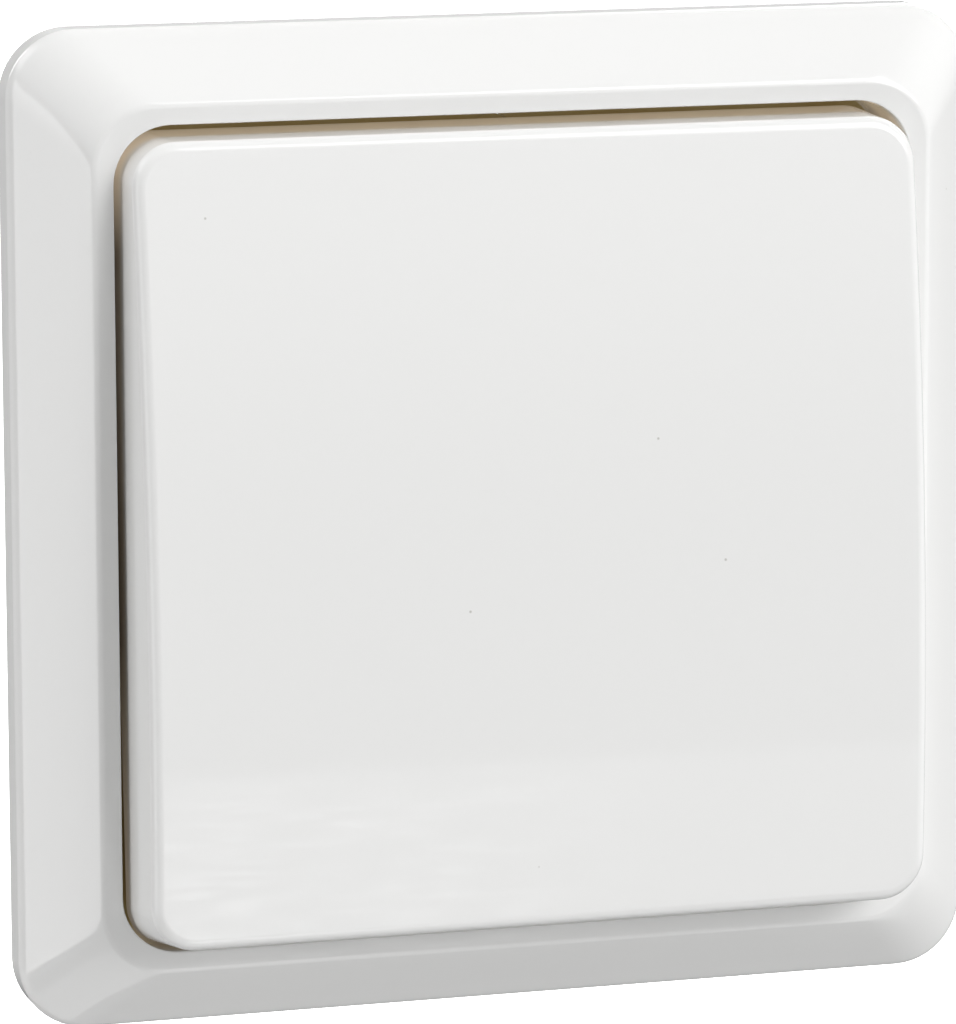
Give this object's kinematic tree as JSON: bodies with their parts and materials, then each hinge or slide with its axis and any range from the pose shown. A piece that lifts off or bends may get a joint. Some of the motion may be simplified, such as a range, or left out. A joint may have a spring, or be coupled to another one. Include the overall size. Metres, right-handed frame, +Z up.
{
  "type": "light switch",
  "caption": "Square flush wall light switch: sloped white frame around one large curved rocker that tilts, on a two-way insert with push-in terminals.",
  "frame": {"origin": "centre of the wall plane, in the middle of the box screw circle", "axes": "+X right, +Y into the wall, +Z up; the rocker faces -Y"},
  "size_m": [0.08, 0.04, 0.08],
  "materials": {
    "white_plastic": "glossy moulded thermoplastic",
    "plate_steel": "yellow-passivated zinc-plated steel sheet",
    "screw_steel": "zinc-plated steel",
    "housing_plastic": "matt moulded thermoset",
    "cover_plastic": "matt moulded thermoplastic",
    "cradle_plastic": "matt moulded thermoplastic",
    "plunger_plastic": "low-friction thermoplastic",
    "spring_steel": "stainless spring steel",
    "contact_copper": "rolled copper alloy strip",
    "contact_silver": "silver alloy",
    "button_plastic": "matt moulded thermoplastic"
  },
  "bodies": {
    "base": {"cover_frame": "white_plastic", "support_plate": "plate_steel", "plate_screws": "screw_steel", "housing": "housing_plastic", "rear_cover": "cover_plastic", "common_bar": "contact_copper", "traveller_bar_upper": "contact_copper", "traveller_bar_lower": "contact_copper", "fixed_contact_upper": "contact_silver", "fixed_contact_lower": "contact_silver", "clamp_spring_common": "spring_steel", "clamp_spring_upper": "spring_steel", "clamp_spring_lower": "spring_steel"},
    "rocker": {"rocker": "white_plastic", "rocker_cradle": "cradle_plastic", "plunger_spring": "spring_steel"},
    "plunger": {"plunger": "plunger_plastic"},
    "lever": {"contact_lever": "contact_copper", "moving_contact_upper": "contact_silver", "moving_contact_lower": "contact_silver"},
    "button_common": {"release_button_common": "button_plastic"},
    "button_upper": {"release_button_upper": "button_plastic"},
    "button_lower": {"release_button_lower": "button_plastic"}
  },
  "joints": [
    {"name": "rocker_tilt", "type": "hinge", "parent": "base", "child": "rocker", "pos_m": [0, -0.004, 0], "axis": [1, 0, 0], "range_deg": [0, 7]},
    {"name": "lever_tilt", "type": "hinge", "parent": "base", "child": "lever", "pos_m": [0, 0.0079, 0], "axis": [1, 0, 0], "range_deg": [-16, 0]},
    {"name": "plunger_slide", "type": "slide", "parent": "rocker", "child": "plunger", "axis": [0, -0.9981, 0.061], "range_m": [0, 0.0006], "stiffness_N_per_m": 300, "springref_m": -0.002, "deforming": ["plunger_spring"]},
    {"name": "release_common", "type": "slide", "parent": "base", "child": "button_common", "axis": [0, -1, 0], "range_m": [0, 0.001], "stiffness_N_per_m": 500, "springref_m": -0.001, "deforming": ["clamp_spring_common"]},
    {"name": "release_upper", "type": "slide", "parent": "base", "child": "button_upper", "axis": [0, -1, 0], "range_m": [0, 0.001], "stiffness_N_per_m": 500, "springref_m": -0.001, "deforming": ["clamp_spring_upper"]},
    {"name": "release_lower", "type": "slide", "parent": "base", "child": "button_lower", "axis": [0, -1, 0], "range_m": [0, 0.001], "stiffness_N_per_m": 500, "springref_m": -0.001, "deforming": ["clamp_spring_lower"]}
  ],
  "couplings": [
    {"joint": "lever_tilt", "follows": "rocker_tilt", "ratio": -2.2857}
  ]
}
